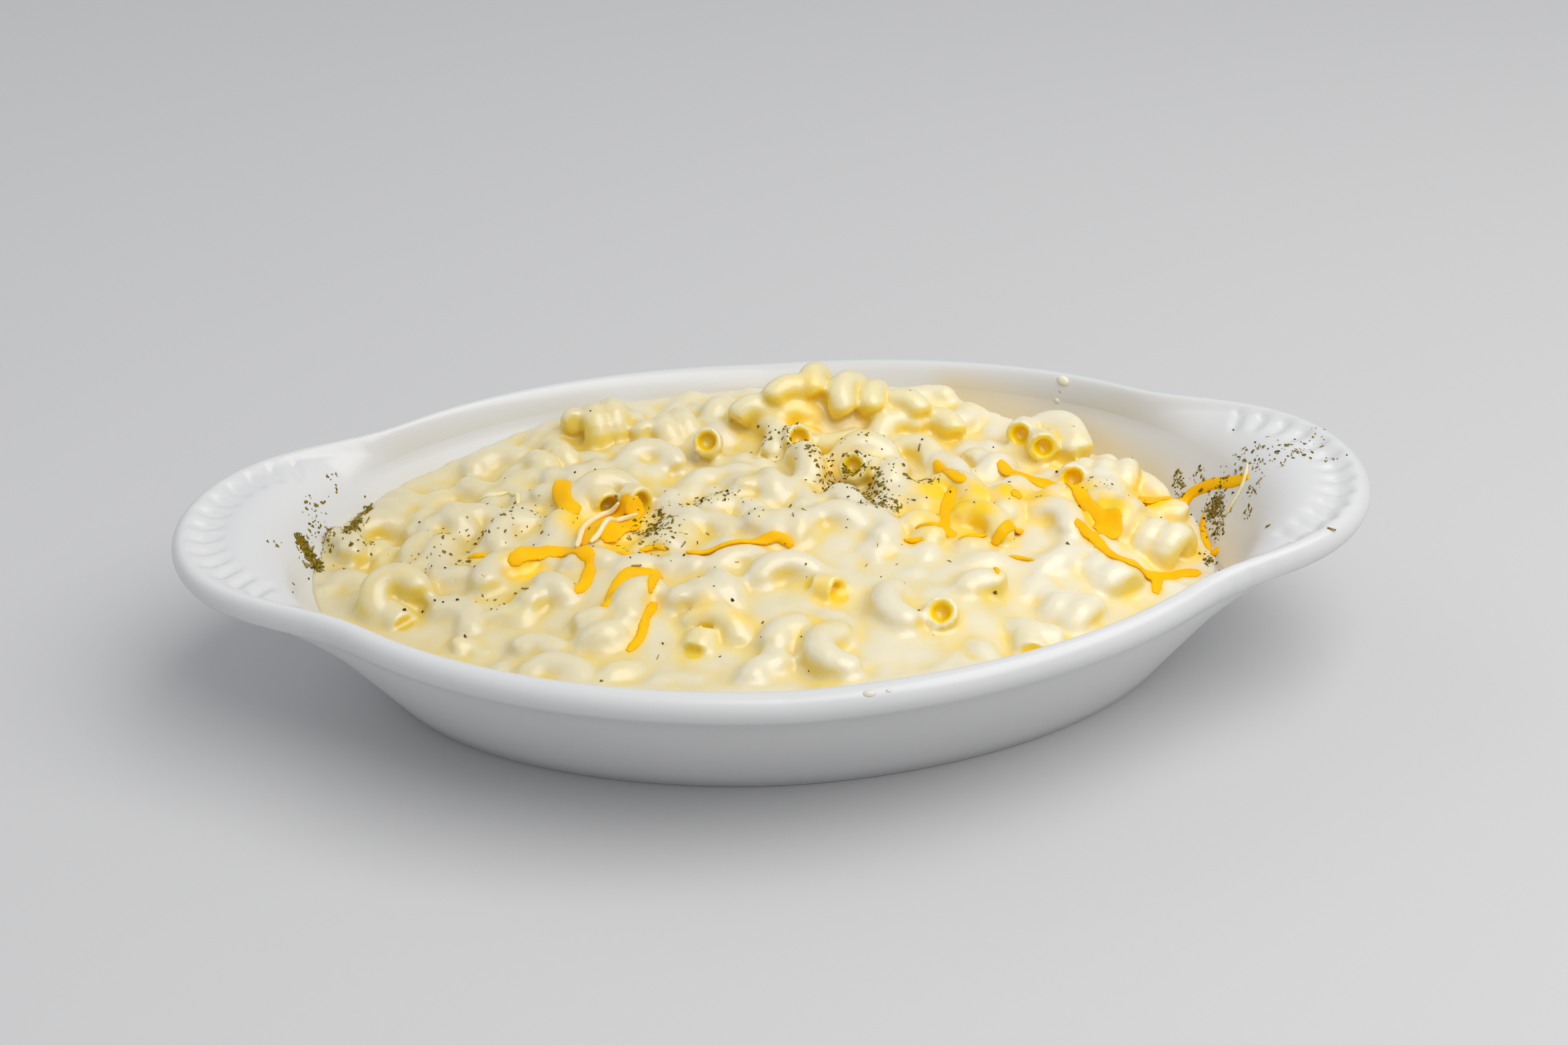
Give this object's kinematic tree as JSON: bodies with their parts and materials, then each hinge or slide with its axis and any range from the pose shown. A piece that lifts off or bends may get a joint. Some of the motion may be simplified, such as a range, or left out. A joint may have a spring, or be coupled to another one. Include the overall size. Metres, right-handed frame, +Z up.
{
  "type": "mac and cheese",
  "caption": "Macaroni and cheese served in an oval white gratin dish with two fluted ear handles.",
  "frame": {"origin": "middle of the underside of the dish's foot ring, on the table", "axes": "+X along the dish towards the ear at the end with the lower food, +Y across the dish towards the side with the tallest pasta, +Z up out of the dish"},
  "size_m": [0.2824, 0.153, 0.0523],
  "materials": {
    "white_glaze": "glossy white glaze on stoneware",
    "cheese_sauce": "wet, glossy cream-coloured cheese sauce over macaroni"
  },
  "bodies": {
    "root": {"dish": "white_glaze", "macaroni": "cheese_sauce"}
  },
  "joints": []
}
